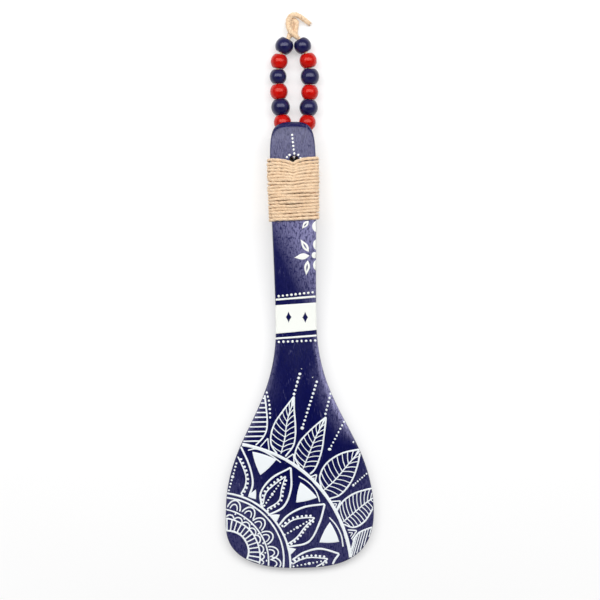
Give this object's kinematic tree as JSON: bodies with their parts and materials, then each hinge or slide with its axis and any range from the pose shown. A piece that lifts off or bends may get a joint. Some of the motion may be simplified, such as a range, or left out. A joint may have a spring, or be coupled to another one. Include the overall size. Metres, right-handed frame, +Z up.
{
  "type": "painted wooden spoon",
  "caption": "Flat-backed paddle spoon of painted wood with a shallow dish, a twine binding on its handle and a beaded hanging cord.",
  "frame": {"origin": "centre of the blade's flat back, under the middle of the dish, on the surface that the spoon lies on", "axes": "+Z up out of the painted face, +Y along the spoon towards the handle and the bead hanger, +X to the right of the painted face"},
  "size_m": [0.1, 0.3746, 0.0256],
  "materials": {
    "painted_wood": "navy paint with white ornament, glossy varnish",
    "jute_twine": "natural jute, matt",
    "jute_cord": "natural jute, matt",
    "red_bead": "red lacquer, glossy",
    "navy_bead": "navy lacquer, glossy"
  },
  "bodies": {
    "spoon": {"spoon_body": "painted_wood", "handle_wrap": "jute_twine", "cord_anchor_left": "jute_cord", "cord_anchor_right": "jute_cord"},
    "bead_hanger": {"cord_strand_left": "jute_cord", "cord_strand_right": "jute_cord", "knot_cord_left": "jute_cord", "knot_cord_right": "jute_cord"},
    "left_bead_1": {"bead_left_1": "red_bead"},
    "left_bead_2": {"bead_left_2": "navy_bead"},
    "left_bead_3": {"bead_left_3": "red_bead"},
    "left_bead_4": {"bead_left_4": "navy_bead"},
    "left_bead_5": {"bead_left_5": "red_bead"},
    "left_bead_6": {"bead_left_6": "navy_bead"},
    "right_bead_1": {"bead_right_1": "red_bead"},
    "right_bead_2": {"bead_right_2": "navy_bead"},
    "right_bead_3": {"bead_right_3": "red_bead"},
    "right_bead_4": {"bead_right_4": "navy_bead"},
    "right_bead_5": {"bead_right_5": "red_bead"},
    "right_bead_6": {"bead_right_6": "navy_bead"}
  },
  "joints": [
    {"name": "hanger_swing", "type": "hinge", "parent": "spoon", "child": "bead_hanger", "pos_m": [0.0008, 0.214, 0.01019], "axis": [1, 0, 0], "range_deg": [-145, 0]},
    {"name": "left_bead_1_turn", "type": "hinge", "parent": "bead_hanger", "child": "left_bead_1", "pos_m": [-0.00649, 0.24038, 0.00636], "axis": [-0.1045, 0.9945, 0], "continuous": true},
    {"name": "left_bead_2_turn", "type": "hinge", "parent": "bead_hanger", "child": "left_bead_2", "pos_m": [-0.00755, 0.25066, 0.00636], "axis": [-0.1016, 0.9948, 0], "continuous": true},
    {"name": "left_bead_3_turn", "type": "hinge", "parent": "bead_hanger", "child": "left_bead_3", "pos_m": [-0.00848, 0.2611, 0.00636], "axis": [-0.0758, 0.9971, 0], "continuous": true},
    {"name": "left_bead_4_turn", "type": "hinge", "parent": "bead_hanger", "child": "left_bead_4", "pos_m": [-0.00885, 0.27123, 0.00636], "axis": [0.0052, 1, 0], "continuous": true},
    {"name": "left_bead_5_turn", "type": "hinge", "parent": "bead_hanger", "child": "left_bead_5", "pos_m": [-0.0079, 0.28143, 0.00636], "axis": [0.1785, 0.9839, 0], "continuous": true},
    {"name": "left_bead_6_turn", "type": "hinge", "parent": "bead_hanger", "child": "left_bead_6", "pos_m": [-0.00426, 0.29181, 0.00636], "axis": [0.4695, 0.8829, 0], "continuous": true},
    {"name": "right_bead_1_turn", "type": "hinge", "parent": "bead_hanger", "child": "right_bead_1", "pos_m": [0.01024, 0.24, 0.00636], "axis": [0.1045, 0.9945, 0], "continuous": true},
    {"name": "right_bead_2_turn", "type": "hinge", "parent": "bead_hanger", "child": "right_bead_2", "pos_m": [0.01128, 0.25001, 0.00636], "axis": [0.1016, 0.9948, 0], "continuous": true},
    {"name": "right_bead_3_turn", "type": "hinge", "parent": "bead_hanger", "child": "right_bead_3", "pos_m": [0.01219, 0.26023, 0.00636], "axis": [0.0758, 0.9971, 0], "continuous": true},
    {"name": "right_bead_4_turn", "type": "hinge", "parent": "bead_hanger", "child": "right_bead_4", "pos_m": [0.01255, 0.27076, 0.00636], "axis": [-0.0052, 1, 0], "continuous": true},
    {"name": "right_bead_5_turn", "type": "hinge", "parent": "bead_hanger", "child": "right_bead_5", "pos_m": [0.01158, 0.28153, 0.00636], "axis": [-0.1785, 0.9839, 0], "continuous": true},
    {"name": "right_bead_6_turn", "type": "hinge", "parent": "bead_hanger", "child": "right_bead_6", "pos_m": [0.00806, 0.29171, 0.00636], "axis": [-0.4695, 0.8829, 0], "continuous": true}
  ]
}
